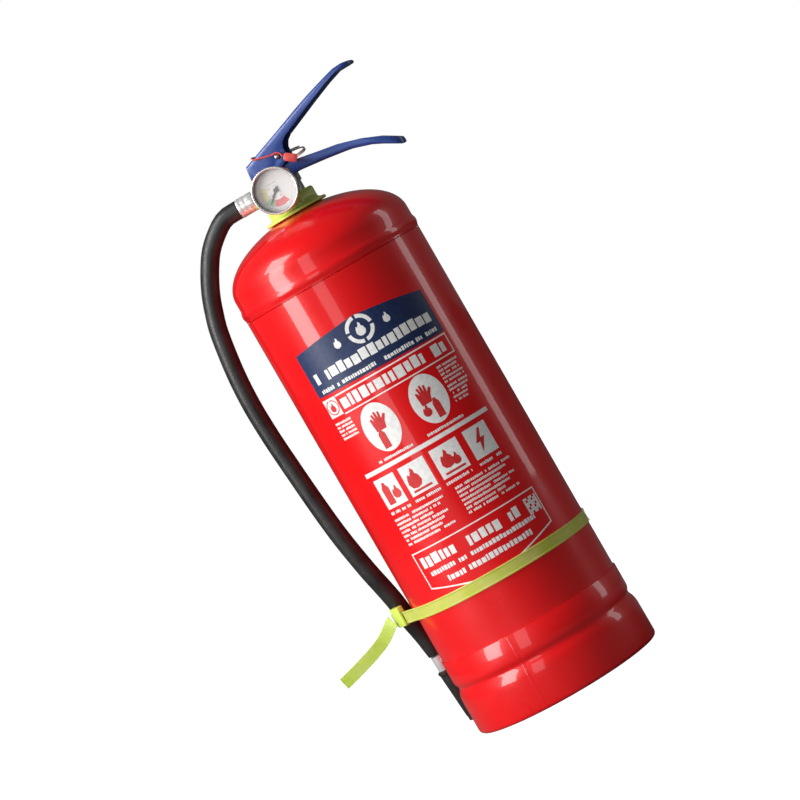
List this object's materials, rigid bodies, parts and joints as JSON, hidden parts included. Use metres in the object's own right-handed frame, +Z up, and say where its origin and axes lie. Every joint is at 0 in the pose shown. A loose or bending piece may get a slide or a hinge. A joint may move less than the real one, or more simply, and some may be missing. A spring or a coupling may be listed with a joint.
{
  "type": "portable fire extinguisher",
  "caption": "Upright powder fire extinguisher with squeeze lever, carrying handle, safety pin, pressure gauge and a side hose held by a strap.",
  "frame": {"origin": "on the floor under the middle of the object, on the cylinder axis", "axes": "+Z up along the cylinder, +X towards the free end of the squeeze lever, -X towards the hose outlet, -Y towards the front of the pressure gauge"},
  "size_m": [0.2548, 0.1566, 0.501],
  "materials": {
    "red_enamel": "gloss",
    "bright_steel": "satin",
    "chromed_steel": "polished",
    "brass": "satin",
    "cast_alloy": "satin",
    "blue_powder_coat": "satin",
    "lime_plastic": "satin",
    "black_rubber": "satin",
    "black_plastic": "satin",
    "white_print": "satin",
    "seal_plastic": "satin",
    "clear_lens": "gloss",
    "dry_powder": "matte"
  },
  "bodies": {
    "vessel": {"cylinder_wall": "red_enamel", "top_dome": "red_enamel", "bottom_dish": "red_enamel", "base_ring": "red_enamel", "neck_boss": "bright_steel", "neck_seal": "black_rubber", "neck_collar": "lime_plastic", "powder_charge": "dry_powder", "valve_body": "cast_alloy", "stem_seal": "black_rubber", "valve_spring": "bright_steel", "tube_adapter": "brass", "dip_tube": "white_print", "carry_handle": "blue_powder_coat", "lever_rivet": "bright_steel", "handle_rivet": "bright_steel", "gauge_stem": "brass", "gauge_case": "black_plastic", "bourdon_tube": "brass", "gauge_dial": "white_print", "gauge_lens": "clear_lens", "gauge_bezel": "chromed_steel", "outlet_nipple": "brass", "hose_ferrule": "chromed_steel", "hose": "black_rubber", "nozzle_tube": "bright_steel", "nozzle": "black_plastic", "hose_strap": "lime_plastic", "strap_buckle": "lime_plastic", "strap_tail": "lime_plastic"},
    "lever": {"squeeze_lever": "blue_powder_coat", "seal_thread": "seal_plastic", "seal_tag": "seal_plastic"},
    "stem": {"valve_stem": "brass", "poppet_seal": "black_rubber"},
    "pin": {"safety_pin": "bright_steel"},
    "ring": {"pull_ring": "bright_steel"},
    "needle": {"gauge_needle": "black_plastic"}
  },
  "joints": [
    {"name": "lever_squeeze", "type": "hinge", "parent": "vessel", "child": "lever", "pos_m": [-0.011, 0, 0.4515], "axis": [0, 1, 0], "range_deg": [0, 16], "stiffness_Nm_per_rad": 2, "springref_deg": -8.59},
    {"name": "stem_travel", "type": "slide", "parent": "vessel", "child": "stem", "axis": [0, 0, -1], "range_m": [0, 0.0046], "deforming": ["valve_spring"]},
    {"name": "pin_pull", "type": "slide", "parent": "lever", "child": "pin", "axis": [0, 1, 0], "range_m": [0, 0.04]},
    {"name": "ring_swivel", "type": "hinge", "parent": "pin", "child": "ring", "pos_m": [0.0107, 0.0215, 0.46401], "axis": [1, 0, 0], "range_deg": [-75, 80]},
    {"name": "needle_sweep", "type": "hinge", "parent": "vessel", "child": "needle", "pos_m": [0, 0, 0.44161], "axis": [0, 1, 0], "range_deg": [-60, 75], "stiffness_Nm_per_rad": 0.0005}
  ],
  "couplings": [
    {"joint": "stem_travel", "follows": "lever_squeeze", "m_per_rad": 0.0163}
  ]
}
